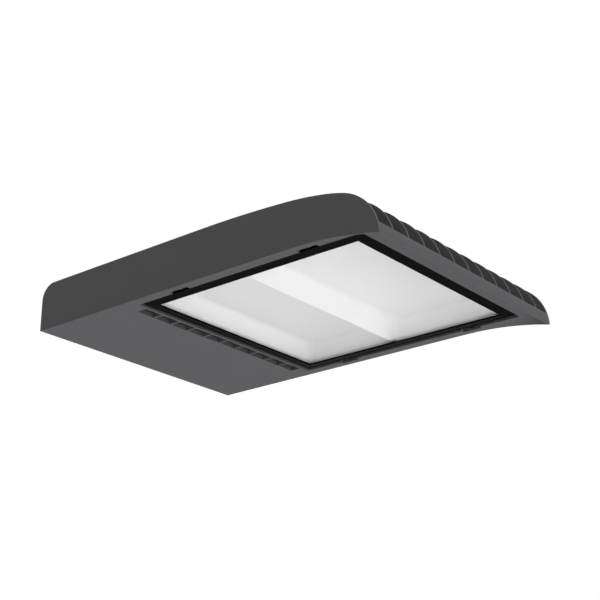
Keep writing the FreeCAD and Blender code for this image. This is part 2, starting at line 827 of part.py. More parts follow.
# ---- where the screws sit -------------------------------------------------------------------------------


def frame_screw_spots():
    out = "(frame_side + lug_reach - frame_screw_head)"
    return [(f"{side}{out}", f"-{notch}") for side in ("", "-") for notch in ("rear_notch", "front_notch")]


def board_spans():
    """Each board's reach: rear edge and front edge."""
    return [
        ("mouth_rear + board_inset", "ridge_rear - board_inset"),
        ("ridge_front + board_inset", "mouth_front - board_inset"),
    ]


def board_screw_spots():
    spots = []
    x = "(mouth_side - board_inset - board_screw_inset)"
    for rear, front in board_spans():
        for side in ("", "-"):
            spots.append((f"{side}{x}", f"-({rear} + board_screw_inset)"))
            spots.append((f"{side}{x}", f"-({front} - board_screw_inset)"))
    return spots


def driver_screw_spots():
    x = "(driver_end + driver_ear / 2)"
    rows = ("-(wiring_room + driver_screw_inset)", "-(driver_front - driver_screw_inset)")
    return [(f"{side}{x}", y) for side in ("", "-") for y in rows]


def surge_screw_spots():
    reach = "(surge_length / 2 + surge_ear / 2)"
    return [("-surge_line", f"-surge_centre {way} {reach}") for way in "+-"]


def terminal_screw_spots():
    reach = "(terminal_length / 2 - terminal_screw_inset)"
    return [(f"-terminal_line {way} {reach}", "-terminal_centre") for way in "+-"]


def screws(label, spots, sizes, head_at, points, socket="hex"):
    """Like screws at several spots. The head lies at a height, and the shank points up or down."""
    shank, head, head_height, length = sizes
    made = []
    for x, y in spots:
        if points == "up":
            low, high = f"({head_at}) - ({head_height})", head_at
            recess_at = low
            shank_at = head_at
        else:
            low, high = head_at, f"({head_at}) + ({head_height})"
            recess_at = f"({high}) - {SOCKET_DEPTH} * ({head_height})"
            shank_at = f"({head_at}) - ({length})"
        head_disc = rod(label + "_head", head, x, y, low, head_height)
        stem = rod(label + "_shank", shank, x, y, shank_at, length)
        recess = DOC.addObject("Part::Prism", label + "_socket")
        recess.Polygon = 6 if socket == "hex" else 4
        bind(recess, Circumradius=f"{SOCKET_SIZE} * ({head})", Height=f"{SOCKET_DEPTH} * ({head_height})")
        place(recess, x, y, recess_at)
        made.append(cut(label + "_screw", join(label + "_blank", [head_disc, stem]), [recess]))
    return group(label, made)


# ---- lid, hinge and captive screws ----------------------------------------------------------------------


def top_cover():
    lid = body("top_cover")
    side = "inside - cover_gap"
    rear = "-rim_start - cover_gap"
    plate = rectangle(f"-({side})", side, "-bay_front", rear)
    pad(lid, "top", [plate], "cover_under", "height - cover_rib")
    skirt = []
    for inset in ("(rim_width + cover_skirt_gap)", "(rim_width + cover_skirt_gap + cover_skirt)"):
        side = f"inside - {inset}"
        skirt.append(rectangle(f"-({side})", side, f"-bay_front + {inset}", f"-rim_start - {inset}"))
    pad(lid, "top", skirt, "cover_under - cover_skirt_depth", "cover_under")
    for mirror in ("", "-"):
        spot = circle(f"{mirror}cover_screw_line", "-cover_screw_inset", "cover_boss")
        pad(lid, "top", [spot], "cover_boss_foot", "cover_under")
    for mirror in ("", "-"):
        low, high = "knuckle_inner", "knuckle_outer"
        start, stop = (low, high) if mirror == "" else (f"-({high})", f"-({low})")
        pad(lid, "side", [circle("-hinge_axis", "hinge_line", "hinge_knuckle")], start, stop)
        arm = rectangle("-hinge_axis", f"-bay_front + {OVERLAP}", "cover_under", "height - cover_rib")
        pad(lid, "side", [arm], start, stop)
    for index in range(int(value("fin_count"))):
        middle = f"({index} - (fin_count - 1) / 2) * fin_pitch"
        left, right = f"{middle} - fin_wall / 2", f"{middle} + fin_wall / 2"
        strip = rectangle(left, right, "-bay_front + cover_rib_front", "-rim_start - cover_rib_rear")
        pad(lid, "top", [strip], "height - cover_rib", "height")
    for mirror in ("", "-"):
        low, high = f"knuckle_inner - {OVERLAP}", f"knuckle_outer + {OVERLAP}"
        start, stop = (low, high) if mirror == "" else (f"-({high})", f"-({low})")
        pocket(lid, "side", [circle("-hinge_axis", "hinge_line", "hinge_pin + hinge_fit")], start, stop)
        x, y = f"{mirror}cover_screw_line", "-cover_screw_inset"
        well = circle(x, y, "cover_screw_head + cover_well_gap")
        pocket(lid, "top", [well], "height - cover_rib - cover_screw_head_height", "height")
        hole = circle(x, y, "cover_screw_shank + cover_screw_fit")
        pocket(lid, "top", [hole], f"cover_boss_foot - {OVERLAP}", "height")
    keep(lid, "top_cover")


def cover_gasket():
    ring = body("cover_gasket")
    margin = "(rim_width - gasket_width) / 2"
    outer = rectangle(
        f"-(inside - {margin})", f"inside - {margin}", f"-bay_front + {margin}", f"-rim_start - {margin}"
    )
    inset = f"({margin} + gasket_width)"
    inner = rectangle(
        f"-(inside - {inset})", f"inside - {inset}", f"-bay_front + {inset}", f"-rim_start - {inset}"
    )
    pad(ring, "top", [outer, inner], "rim_top", "rim_top + gasket_height")
    keep(ring, "cover_gasket")


def hinge_pins():
    pins = []
    for side in ("", "-"):
        low, high = "vent_side", "inside - hinge_boss + hinge_socket - hinge_end_gap"
        start = low if side == "" else f"-({high})"
        long = f"({high}) - ({low})"
        shaft = rod("pin_shaft", "hinge_pin", start, "-hinge_axis", "hinge_line", long, "right")
        cap_at = f"{low} - pin_head_height" if side == "" else f"-({low})"
        cap = rod("pin_cap", "pin_head", cap_at, "-hinge_axis", "hinge_line", "pin_head_height", "right")
        pins.append(join("hinge_pin", [shaft, cap]))
    group("hinge_pins", pins)


def cover_screw(label, side):
    """A captive screw of the lid, with a slot across its head."""
    screw = body(label)
    head_low = "height - cover_rib - cover_screw_head_height"
    x, y = f"{side}cover_screw_line", "-cover_screw_inset"
    pad(screw, "top", [circle(x, y, "cover_screw_shank")], "cover_screw_tip", head_low)
    pad(screw, "top", [circle(x, y, "cover_screw_head")], head_low, "height - cover_rib")
    reach = f"cover_screw_head + {OVERLAP}"
    slot = rectangle(f"{x} - {reach}", f"{x} + {reach}", f"{y} - cover_slot", f"{y} + cover_slot")
    pocket(screw, "top", [slot], "height - cover_rib - cover_slot_depth", "height")
    keep(screw, label)


def retaining_ring(label, side):
    """A spring ring on the screw's shank, under the lid's boss."""
    ring = body(label)
    x, y = f"{side}cover_screw_line", "-cover_screw_inset"
    outer = circle(x, y, "ring_radius")
    inner = circle(x, y, "cover_screw_shank")
    top = "cover_boss_foot - ring_gap"
    pad(ring, "top", [outer, inner], f"{top} - ring_wall", top)
    keep(ring, label)


# ---- lens ----------------------------------------------------------------------------------------------


def lens_frame():
    """The bezel: a ring whose face slopes up to its outer edge, with a seat for the glass and four lugs."""
    slope = DOC.addObject("Part::Wedge", "bezel_slope")
    slope.Placement.Rotation = Rotation(Vector(1, 0, 0), -90)
    rise = f"(bezel_width - {OVERLAP})"
    inner = f"(frame_side - {rise})"
    inner_rear, inner_front = f"(frame_rear + {rise})", f"(frame_front - {rise})"
    bind(slope, Ymin="-(bezel_face + bezel_fall)", Ymax="-bezel_face")
    bind(slope, Xmin="-frame_side", Xmax="frame_side", Zmin="-frame_front", Zmax="-frame_rear")
    bind(slope, X2min=f"-{inner}", X2max=inner, Z2min=f"-{inner_front}", Z2max=f"-{inner_rear}")
    level = "bezel_face + bezel_fall"
    ring = across_box("frame_ring", "frame_side", ("-frame_front", "-frame_rear"), (level, "frame_top"))
    pieces = [slope, ring]
    out = "frame_side + lug_reach"
    for notch in ("rear_notch", "front_notch"):
        y = (f"-{notch} - lug_width / 2", f"-{notch} + lug_width / 2")
        pieces.append(across_box("frame_lugs", out, y, ("lug_under", "frame_top")))
    window = across_box(
        "frame_window",
        "frame_side - bezel_width",
        ("-frame_front + bezel_width", "-frame_rear - bezel_width"),
        (f"-{OVERLAP}", f"frame_top + {OVERLAP}"),
    )
    seat = across_box(
        "glass_seat",
        "glass_side + glass_gap",
        ("-glass_front - glass_gap", "-glass_rear + glass_gap"),
        ("glass_seat", f"frame_top + {OVERLAP}"),
    )
    low, deep = f"lug_under - {OVERLAP}", f"lug_plate + 2 * {OVERLAP}"
    holes = [rod("lug_hole", "frame_screw + screw_fit", x, y, low, deep) for x, y in frame_screw_spots()]
    keep(cut("lens_frame", join("frame_blank", pieces), [window, seat] + holes), "lens_frame")


def lens_glass():
    glass = body("lens_glass")
    pane = rectangle("-glass_side", "glass_side", "-glass_front", "-glass_rear")
    pad(glass, "top", [pane], "glass_seat", "frame_top")
    round_edges(glass, "glass_corner", upright)
    keep(glass, "lens_glass")


def lens_gasket():
    ring = body("lens_gasket")
    rear, front = "frame_rear + seal_inset", "frame_front - seal_inset"
    outer = rectangle("-seal_side", "seal_side", f"-({front})", f"-({rear})")
    inner = rectangle(
        "-(seal_side - seal_width)",
        "seal_side - seal_width",
        f"-({front} - seal_width)",
        f"-({rear} + seal_width)",
    )
    pad(ring, "top", [outer, inner], "frame_top", "seal_top")
    keep(ring, "lens_gasket")


# ---- light engine ---------------------------------------------------------------------------------------


def tray_form(name, grow, foot, side, rear, front):
    """A block with flared walls, round corners and a coved top: a tray's outside, or the space inside it."""
    form = body(name)
    base = rectangle(
        f"-({side} + {grow})", f"{side} + {grow}", f"-({front}) - {grow}", f"-({rear}) + {grow}"
    )
    pad(form, "top", [base], foot, f"tray_ceiling + {grow}", taper="-tray_flare")
    round_edges(form, f"tray_corner + {grow}", leaning)
    round_edges(form, f"tray_cove + {grow}", level_at(f"tray_ceiling + {grow}"))
    return form


def reflector(label, rear, front, mouth_rear, mouth_front):
    """A white tray: a flat flange, flared walls, a coved ceiling and a window in that ceiling."""
    mouth = ("mouth_side", mouth_rear, mouth_front)
    flange = across_box("tray_flange", "tray_side", (f"-({front})", f"-({rear})"), ("seal_top", "tray_sill"))
    outside = tray_form(f"{label}_outside", "tray_wall", "seal_top", *mouth)
    inside = tray_form(f"{label}_inside", "0", "seal_top", *mouth)
    window = across_box(
        "tray_window",
        "mouth_side - tray_window",
        (f"-({mouth_front} - tray_window)", f"-({mouth_rear} + tray_window)"),
        (f"tray_ceiling - {OVERLAP}", f"tray_top + {OVERLAP}"),
    )
    keep(cut(label, join("tray_blank", [flange, outside]), [inside, window]), label)


def diffuser(label, mouth_rear, mouth_front):
    """An opal sheet on the tray. Its middle fills the window flush with the ceiling."""
    sheet = body(label)
    for inset, low, high in (
        ("(tray_window + diffuser_gap)", "tray_ceiling", "tray_top"),
        ("(tray_window - diffuser_overlap)", "tray_top", "tray_top + diffuser_plate"),
    ):
        half = f"mouth_side - {inset}"
        step = rectangle(f"-({half})", half, f"-({mouth_front} - {inset})", f"-({mouth_rear} + {inset})")
        pad(sheet, "top", [step], low, high)
    keep(sheet, label)


def led_board(label, rear, front):
    board = body(label)
    side = "(mouth_side - board_inset)"
    pane = rectangle(f"-{side}", side, f"-({front})", f"-({rear})")
    pad(board, "top", [pane], "board_under", "engine_height")
    holes = []
    for x, y in board_screw_spots():
        if value(rear) < -value(y) < value(front):
            holes.append(circle(x, y, "board_screw + screw_fit"))
    pocket(board, "top", holes, f"board_under - {OVERLAP}", f"engine_height + {OVERLAP}")
    keep(board, label)


def leds(label, rear, front):
    """The LED packages in rows on the underside of a board."""
    chips = []
    across, along = int(value("leds_across")), int(value("leds_along"))
    half = "(mouth_side - board_inset - led_margin)"
    reach = f"(({front}) - ({rear}) - 2 * led_margin)"
    for column in range(across):
        x = f"{half} * (2 * {column} / (leds_across - 1) - 1)"
        for row in range(along):
            y = f"-({rear}) - led_margin - {reach} * {row} / (leds_along - 1)"
            chips.append(
                box(
                    "led",
                    (f"{x} - led_size / 2", f"{x} + led_size / 2"),
                    (f"{y} - led_size / 2", f"{y} + led_size / 2"),
                    ("board_under - led_height", "board_under"),
                )
            )
    group(label, chips)


def light_engine():
    trays = {
        "rear": ("tray_rear", "ridge_line - ridge_gap / 2", "mouth_rear", "ridge_rear"),
        "front": ("ridge_line + ridge_gap / 2", "tray_front", "ridge_front", "mouth_front"),
    }
    for (name, (rear, front, mouth_rear, mouth_front)), span in zip(trays.items(), board_spans()):
        reflector(f"reflector_{name}", rear, front, mouth_rear, mouth_front)
        diffuser(f"diffuser_{name}", mouth_rear, mouth_front)
        led_board(f"led_board_{name}", *span)
        leds(f"leds_{name}", *span)
    sizes = ("board_screw", "board_screw_head", "led_height", "board_plate + board_screw_reach")
    screws("led_board_screws", board_screw_spots(), sizes, "board_under", "up")
    leads = []
    start, stop = board_spans()[0][1], board_spans()[1][0]
    for step in (0, 1):
        x = f"inside - link_side + {step} * link_pitch"
        leads.append(
            rod("link", "link_radius", x, f"-({start})", "lead_line", f"({stop}) - ({start})", "nose")
        )
    group("board_link_leads", leads)


# ---- driver bay -----------------------------------------------------------------------------------------


def led_driver():
    """A potted metal case with a screw ear at each end."""
    case = body("led_driver")
    half = "driver_end"
    ears = rectangle(f"-({half} + driver_ear)", f"{half} + driver_ear", "-driver_front", "-wiring_room")
    pad(case, "top", [ears], "driver_base", "driver_base + driver_ear_plate")
    block = rectangle(f"-{half}", half, "-driver_front", "-wiring_room")
    pad(case, "top", [block], "driver_base + driver_ear_plate", "driver_base + driver_height")
    round_edges(case, "driver_edge", level_at("driver_base + driver_height"))
    holes = [circle(x, y, "driver_screw + screw_fit") for x, y in driver_screw_spots()]
    ear_top = "driver_base + driver_ear_plate"
    pocket(case, "top", holes, f"driver_base - {OVERLAP}", f"{ear_top} + {OVERLAP}")
    keep(case, "led_driver")
    sizes = ("driver_screw", "driver_screw_head", "driver_screw_head_height", "driver_ear_plate + screw_bite")
    screws("driver_screws", driver_screw_spots(), sizes, ear_top, "down", "square")


def surge_protector():
    case = body("surge_protector")
    half, reach = "surge_width / 2", "surge_length / 2"
    low, high = f"-surge_centre - {reach}", f"-surge_centre + {reach}"
    ears = rectangle(
        "-surge_line - surge_ear", "-surge_line + surge_ear", f"{low} - surge_ear", f"{high} + surge_ear"
    )
    pad(case, "top", [ears], "pad_top", "pad_top + surge_ear_plate")
    block = rectangle(f"-surge_line - {half}", f"-surge_line + {half}", low, high)
    pad(case, "top", [block], "pad_top", "pad_top + surge_height")
    round_edges(case, "surge_edge", level_at("pad_top + surge_height"))
    holes = [circle(x, y, "small_screw + screw_fit") for x, y in surge_screw_spots()]
    ear_top = "pad_top + surge_ear_plate"
    pocket(case, "top", holes, f"pad_top - {OVERLAP}", f"{ear_top} + {OVERLAP}")
    keep(case, "surge_protector")
    sizes = ("small_screw", "small_screw_head", "small_screw_head_height", "surge_ear_plate + screw_bite")
    screws("surge_protector_screws", surge_screw_spots(), sizes, ear_top, "down")


def terminal_block():
    block = body("terminal_block")
    half = "terminal_length / 2"
    low = "-terminal_centre - terminal_width / 2"
    high = "-terminal_centre + terminal_width / 2"
    base = rectangle(f"-terminal_line - {half}", f"-terminal_line + {half}", low, high)
    top = "pad_top + terminal_height"
    pad(block, "top", [base], "pad_top", top)
    wells = []
    for index in range(TERMINALS):
        x = f"-terminal_line + ({index} - {(TERMINALS - 1) / 2}) * terminal_pitch"
        wells.append(circle(x, "-terminal_centre", "terminal_well"))
    pocket(block, "top", wells, f"{top} - terminal_well_depth", f"{top} + {OVERLAP}")
    holes = [circle(x, y, "small_screw + screw_fit") for x, y in terminal_screw_spots()]
    pocket(block, "top", holes, f"pad_top - {OVERLAP}", f"{top} + {OVERLAP}")
    keep(block, "terminal_block")
    sizes = ("small_screw", "small_screw_head", "small_screw_head_height", "terminal_height + screw_bite")
    screws("terminal_block_screws", terminal_screw_spots(), sizes, top, "down")


def ground_screw():
    spot = [("ground_line", "-terminal_centre")]
    long = "ground_lug_plate + screw_bite"
    sizes = ("ground_screw", "ground_screw_head", "ground_screw_head_height", long)
    screws("ground_screw", spot, sizes, "driver_base + ground_lug_plate", "down")


def rubber_sleeve(label, spot, radius, wall, start, stop, flange, flange_at):
    """A rubber sleeve in a bore, with a flange on its bay side. Distances run forward of the rear face."""
    sleeve = body(label)
    x, z = spot
    bore = circle(x, z, f"{radius} - ({wall})")
    low, high = flange_at
    pad(sleeve, "front", [circle(x, z, f"{radius} - rubber_fit"), bore], start, stop)
    pad(sleeve, "front", [circle(x, z, f"{radius} + {flange}"), bore], low, high)
    keep(sleeve, label)


def rubber():
    rubber_sleeve(
        "wireway_grommet",
        ("wireway_centre", "wireway_line"),
        "wireway_bore",
        "grommet_wall",
        f"bay_length - {OVERLAP}",
        "bay_front + grommet_reach",
        "grommet_flange",
        ("bay_length - grommet_flange", "bay_length"),
    )
    rubber_sleeve(
        "wire_entry_bushing",
        ("0", "arm_line"),
        "wire_entry_hole",
        "bushing_wall",
        "bushing_recess",
        f"rear_wall + {OVERLAP}",
        "grommet_flange",
        ("rear_wall", "rear_wall + grommet_flange"),
    )


# ---- leads ----------------------------------------------------------------------------------------------


def tube(points, radius):
    """A round lead along straight runs joined by tangent arcs, each as large as its two runs allow."""
    path = [Vector(*(value(number) for number in point)) for point in points]
    edges = []
    here = path[0]
    for before, corner, after in zip(path, path[1:], path[2:]):
        back = (before - corner).normalize()
        ahead = (after - corner).normalize()
        half_turn = (math.pi - back.getAngle(ahead)) / 2
        trim = BEND * min((before - corner).Length, (after - corner).Length)
        bend = trim / math.tan(half_turn)
        middle = (back + ahead).normalize()
        mid_point = corner + middle * (bend / math.cos(half_turn) - bend)
        start, stop = corner + back * trim, corner + ahead * trim
        edges.append(Part.LineSegment(here, start).toShape())
        edges.append(Part.Arc(start, mid_point, stop).toShape())
        here = stop
    edges.append(Part.LineSegment(here, path[-1]).toShape())
    spine = Part.Wire(edges)
    direction = path[1] - path[0]
    section = Part.Wire(Part.makeCircle(radius, path[0], direction))
    solid = spine.makePipeShell([section], True, False)
    print(f"lead {spine.Length:.1f} mm, volume ratio {solid.Volume / (spine.Length * math.pi * radius**2):.4f}")
    return solid


def lead(label, points, extra=None):
    solid = tube(points, value("lead_radius"))
    if extra is not None:
        solid = solid.fuse(extra).removeSplitter()
    item = DOC.addObject("Part::Feature", label)
    item.Shape = solid
    keep(item, label)


def leads():
    terminal_front = "-terminal_centre - terminal_width / 2"
    terminal_left = "-terminal_line - terminal_length / 2"
    terminal_right = "-terminal_line + terminal_length / 2"
    wire_height = "pad_top + terminal_height / 2"
    driver_line = "driver_base + driver_height / 2"
    for label, leave, run, rise, spot in (
        ("line_lead", "line_exit", "line_run", "0", "line_spot"),
        ("neutral_lead", "neutral_exit", "neutral_run", "neutral_rise", "neutral_spot"),
    ):
        y, z = f"-wiring_room - {leave}", f"{driver_line} + {rise}"
        crossing = f"{terminal_front} - crossing"
        lead(
            label,
            [
                ("-driver_end", y, z),
                (f"-driver_end - {run}", y, z),
                (f"-driver_end - {run}", crossing, z),
                (f"{terminal_left} + {spot}", crossing, z),
                (f"{terminal_left} + {spot}", crossing, wire_height),
                (f"{terminal_left} + {spot}", terminal_front, wire_height),
            ],
        )
    x, crossing = "-surge_line + surge_exit", f"{terminal_front} - surge_crossing"
    lead(
        "surge_lead",
        [
            (x, "-surge_centre + surge_length / 2", wire_height),
            (x, crossing, wire_height),
            (f"{terminal_left} + surge_spot", crossing, wire_height),
            (f"{terminal_left} + surge_spot", terminal_front, wire_height),
        ],
    )
    low = "driver_base + lead_radius + lead_gap"
    lead(
        "ground_lead",
        [
            ("ground_line - ground_reach", "-terminal_centre", low),
            ("ground_bend", "-terminal_centre", low),
            ("-ground_bend", "-terminal_centre", wire_height),
            (terminal_right, "-terminal_centre", wire_height),
        ],
        ground_lug(),
    )
    rear_board = board_spans()[0][0]
    for sign, way, leave in (("positive", "+", "positive_exit"), ("negative", "-", "negative_exit")):
        x, y = f"wireway_centre {way} led_lead_offset", f"-wiring_room - {leave}"
        lead(
            f"led_lead_{sign}",
            [
                ("driver_end", y, "wireway_line"),
                (x, y, "wireway_line"),
                (x, "-engine_rear - riser_start", "wireway_line"),
                (x, "-engine_rear - riser_end", "lead_line"),
                (x, f"-({rear_board})", "lead_line"),
            ],
        )


def ground_lug():
    """The ring lug at the end of the ground lead."""
    foot = Vector(value("ground_line"), -value("terminal_centre"), value("driver_base"))
    disc = Part.makeCylinder(value("ground_lug"), value("ground_lug_plate"), foot)
    return disc.cut(Part.makeCylinder(value("ground_screw + screw_fit"), value("ground_lug_plate"), foot))


# ---- the whole light ------------------------------------------------------------------------------------


def check():
    """Stops if any piece failed to build."""
    for item in DOC.Objects:
        if "Invalid" in item.State or "Error" in item.State:
            raise RuntimeError(f"{item.Label} failed: {item.State}")
    for item in PARTS:
        if item.Shape.isNull() or not item.Shape.isValid():
            raise RuntimeError(f"{item.Label} has no valid shape")


def main():
    housing()
    top_cover()
    cover_gasket()
    hinge_pins()
    for name, side in (("left", "-"), ("right", "")):
        cover_screw(f"cover_screw_{name}", side)
        retaining_ring(f"retaining_ring_{name}", side)
    lens_frame()
    lens_glass()
    lens_gasket()
    sizes = ("frame_screw", "frame_screw_head", "frame_screw_head_height", "lug_plate + frame_screw_reach")
    screws("lens_frame_screws", frame_screw_spots(), sizes, "lug_under", "up")
    light_engine()
    led_driver()
    surge_protector()
    terminal_block()
    ground_screw()
    rubber()
    leads()
    DOC.recompute()
    check()
    os.makedirs("parts", exist_ok=True)
    for item in PARTS:
        item.Shape.exportStep(f"parts/{item.Label}.step")
        print(f"{item.Label}: {len(item.Shape.Solids)} solids, {item.Shape.Volume / 1000:.2f} cm3")


main()
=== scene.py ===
import bpy
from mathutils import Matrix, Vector

# A shoebox area light seen from below, in front of its left side, against plain white. Lengths are in
# metres, except where a name ends in mm.

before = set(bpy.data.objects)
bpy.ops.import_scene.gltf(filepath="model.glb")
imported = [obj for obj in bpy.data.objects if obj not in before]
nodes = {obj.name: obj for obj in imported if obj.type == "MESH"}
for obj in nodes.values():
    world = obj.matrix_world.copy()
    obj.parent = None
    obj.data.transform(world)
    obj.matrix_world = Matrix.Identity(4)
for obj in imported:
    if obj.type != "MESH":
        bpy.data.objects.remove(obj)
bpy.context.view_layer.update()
MM = 0.001


# ---- camera, lamps, floor and world ---------------------------------------------------------------------

CAMERA_SPOT = (-1.1467, -1.2110, -0.5773)
CAMERA_WAY = (0.7201, 0.5900, 0.3652)
CAMERA_LENS_MM = 79.57
SENSOR_MM = 36
NEAREST_SEEN = 0.05
FARTHEST_SEEN = 200
FLOOR_LEVEL = -1.8  # below the light, which hangs over the floor
FLOOR_REACH = 30.0
# How far from its middle the floor starts to turn white, and where it is all white.
WHITE_TO_CAMERA = (1.5, 9.0)
WHITE_IN_GLOSS = (9.0, 25.0)
ROOM_GLOW = 0.25  # the world's strength on matt surfaces


def linear(code):
    """An sRGB hex value as linear red, green, blue and alpha."""
    steps = [int(code[n : n + 2], 16) / 255 for n in (1, 3, 5)]
    return [s / 12.92 if s <= 0.04045 else ((s + 0.055) / 1.055) ** 2.4 for s in steps] + [1.0]


def add(tree, kind, sockets=None, **settings):
    """Adds a node with its settings, and gives its sockets values or links."""
    node = tree.nodes.new(kind)
    for name, setting in settings.items():
        setattr(node, name, setting)
    for socket, source in (sockets or {}).items():
        if isinstance(source, bpy.types.NodeSocket):
            tree.links.new(source, node.inputs[socket])
        else:
            node.inputs[socket].default_value = source
    return node


def aim(item, spot, way):
    item.location = spot
    item.rotation_euler = Vector(way).to_track_quat("-Z", "Y").to_euler()


def make_camera():
    bpy.ops.object.camera_add()
    camera = bpy.context.object
    aim(camera, CAMERA_SPOT, CAMERA_WAY)
    camera.data.sensor_width = SENSOR_MM
    camera.data.lens = CAMERA_LENS_MM
    camera.data.clip_start = NEAREST_SEEN
    camera.data.clip_end = FARTHEST_SEEN
    bpy.context.scene.camera = camera


def make_floor():
    bpy.ops.mesh.primitive_plane_add(size=2 * FLOOR_REACH, location=(0, 0, FLOOR_LEVEL))
    floor = bpy.context.object
    floor.name = "floor"
    paint = bpy.data.materials.new("pale_studio_paper")
    paint.use_nodes = True
    tree = paint.node_tree
    tree.nodes.clear()
    paper = add(tree, "ShaderNodeBsdfDiffuse", {"Color": linear("#e6e6e6")})
    # Far from the lamps the paper turns to the backdrop's white for the camera, and further out for gloss.
    # Glass and what stands behind it see it white all over.
    place = add(tree, "ShaderNodeTexCoord")
    away = add(tree, "ShaderNodeVectorMath", {0: place.outputs["Object"]}, operation="LENGTH")
    path = add(tree, "ShaderNodeLightPath")
    lift = path.outputs["Is Transmission Ray"]
    for ray, (near, far) in (("Is Camera Ray", WHITE_TO_CAMERA), ("Is Glossy Ray", WHITE_IN_GLOSS)):
        ramp = add(
            tree,
            "ShaderNodeMapRange",
            {"Value": away.outputs["Value"], "From Min": near, "From Max": far},
        )
        share = add(
            tree,
            "ShaderNodeMath",
            {0: ramp.outputs[0], 1: path.outputs[ray]},
            operation="MULTIPLY",
        )
        lift = add(tree, "ShaderNodeMath", {0: lift, 1: share.outputs[0]}, operation="MAXIMUM").outputs[0]
    white = add(tree, "ShaderNodeEmission", {"Strength": 1.0})
    both = add(tree, "ShaderNodeMixShader", {0: lift, 1: paper.outputs[0], 2: white.outputs[0]})
    add(tree, "ShaderNodeOutputMaterial", {"Surface": both.outputs[0]})
    floor.data.materials.append(paint)


def make_world():
    """White to the camera, gloss and glass, and a weaker glow on matt surfaces."""
    world = bpy.data.worlds.new("studio")
    bpy.context.scene.world = world
    world.use_nodes = True
    tree = world.node_tree
    tree.nodes.clear()
    path = add(tree, "ShaderNodeLightPath")
    seen = path.outputs["Is Camera Ray"]
    for ray in ("Is Glossy Ray", "Is Transmission Ray"):
        seen = add(tree, "ShaderNodeMath", {0: seen, 1: path.outputs[ray]}, operation="MAXIMUM").outputs[0]
    glow = add(tree, "ShaderNodeBackground", {"Color": (1, 1, 1, 1), "Strength": ROOM_GLOW})
    white = add(tree, "ShaderNodeBackground", {"Color": (1, 1, 1, 1), "Strength": 1.0})
    both = add(tree, "ShaderNodeMixShader", {0: seen, 1: glow.outputs[0], 2: white.outputs[0]})
    add(tree, "ShaderNodeOutputWorld", {"Surface": both.outputs[0]})


def make_lamp(name, spot, target, size, watts, in_gloss=True, on_matt=True):
    """A soft rectangular lamp that the camera doesn't see."""
    bpy.ops.object.light_add(type="AREA")
    lamp = bpy.context.object
    lamp.name = name
    aim(lamp, spot, Vector(target) - Vector(spot))
    lamp.data.shape = "RECTANGLE"
    lamp.data.size, lamp.data.size_y = size
    lamp.data.energy = watts
    lamp.visible_camera = False
    lamp.visible_glossy = in_gloss
    lamp.visible_diffuse = on_matt


def make_lamps():
    make_lamp("lamp_above", spot=(-0.3, -0.5, 2.2), target=(0, -0.2, 0), size=(3.0, 3.0), watts=60)
    # Turned down: the paper below throws its light back up at the underside.
    make_lamp(
        "lamp_on_floor",
        spot=(0, -0.25, -0.6),
        target=(0, -0.25, FLOOR_LEVEL),
        size=(4.4, 4.4),
        watts=110,
        in_gloss=False,
    )
    make_lamp("lamp_front", spot=(0.4, -3.6, -0.75), target=(0, -0.4, 0), size=(3.0, 1.8), watts=56)
    # Little of the other lamps' light gets through the glass, so the white trays have a lamp of their own.
    make_lamp(
        "lamp_through_glass",
        spot=(-0.3, -2.4, -1.5),
        target=(0, -0.3, 0),
        size=(4.0, 3.0),
        watts=300,
        in_gloss=False,
        on_matt=False,
    )


# ---- materials ------------------------------------------------------------------------------------------


def finish(
    name,
    dark,
    pale,
    roughness,
    grain_mm,
    depth_mm,
    spread=0.05,
    cloud_mm=45.0,
    stretch=(1, 1, 1),
    **sockets,
):
    """A surface that varies between two close colours, with a fine grain in its height and roughness."""
    material = bpy.data.materials.new(name)
    material.use_nodes = True
    tree = material.node_tree
    shader = tree.nodes["Principled BSDF"]
    place = add(tree, "ShaderNodeTexCoord")
    mapped = add(tree, "ShaderNodeMapping", {"Vector": place.outputs["Object"], "Scale": stretch})
    grain = add(
        tree,
        "ShaderNodeTexNoise",
        {"Vector": mapped.outputs[0], "Scale": 1 / (grain_mm * MM), "Detail": 3.0, "Roughness": 0.55},
    )
    cloud = add(
        tree,
        "ShaderNodeTexNoise",
        {"Vector": mapped.outputs[0], "Scale": 1 / (cloud_mm * MM), "Detail": 4.0},
    )
    blend = add(
        tree,
        "ShaderNodeMix",
        {0: 0.5, 2: grain.outputs["Fac"], 3: cloud.outputs["Fac"]},
        data_type="FLOAT",
    )
    colour = add(
        tree,
        "ShaderNodeMix",
        {0: blend.outputs[0], 6: linear(dark), 7: linear(pale)},
        data_type="RGBA",
    )
    tree.links.new(colour.outputs[2], shader.inputs["Base Color"])
    rough = add(
        tree,
        "ShaderNodeMapRange",
        {"Value": blend.outputs[0], "To Min": roughness - spread, "To Max": roughness + spread},
    )
    tree.links.new(rough.outputs[0], shader.inputs["Roughness"])
    bump = add(
        tree,
        "ShaderNodeBump",
        {"Height": grain.outputs["Fac"], "Distance": depth_mm * MM, "Strength": 1.0},
    )
    tree.links.new(bump.outputs[0], shader.inputs["Normal"])
    for socket, setting in sockets.items():
        shader.inputs[socket.replace("_", " ")].default_value = setting
    return material


def dress(material, *names):
    for name in names:
        slots = nodes[name].data.materials
        slots.clear()
        slots.append(material)


def dress_casting():
    # Polyester powder coat, sprayed and baked on die-cast aluminium: dark grey, satin, with the faint orange
    # peel that such a coat always has. The peel is drawn 1.4 mm wide, coarser than the real 0.8 mm, to show.
    coat = finish(
        "powder_coated_cast_aluminium",
        "#49494b",
        "#4f4f51",
        roughness=0.62,
        grain_mm=1.4,
        depth_mm=0.02,
        Specular_IOR_Level=0.2,
    )
    dress(coat, "housing", "top_cover")


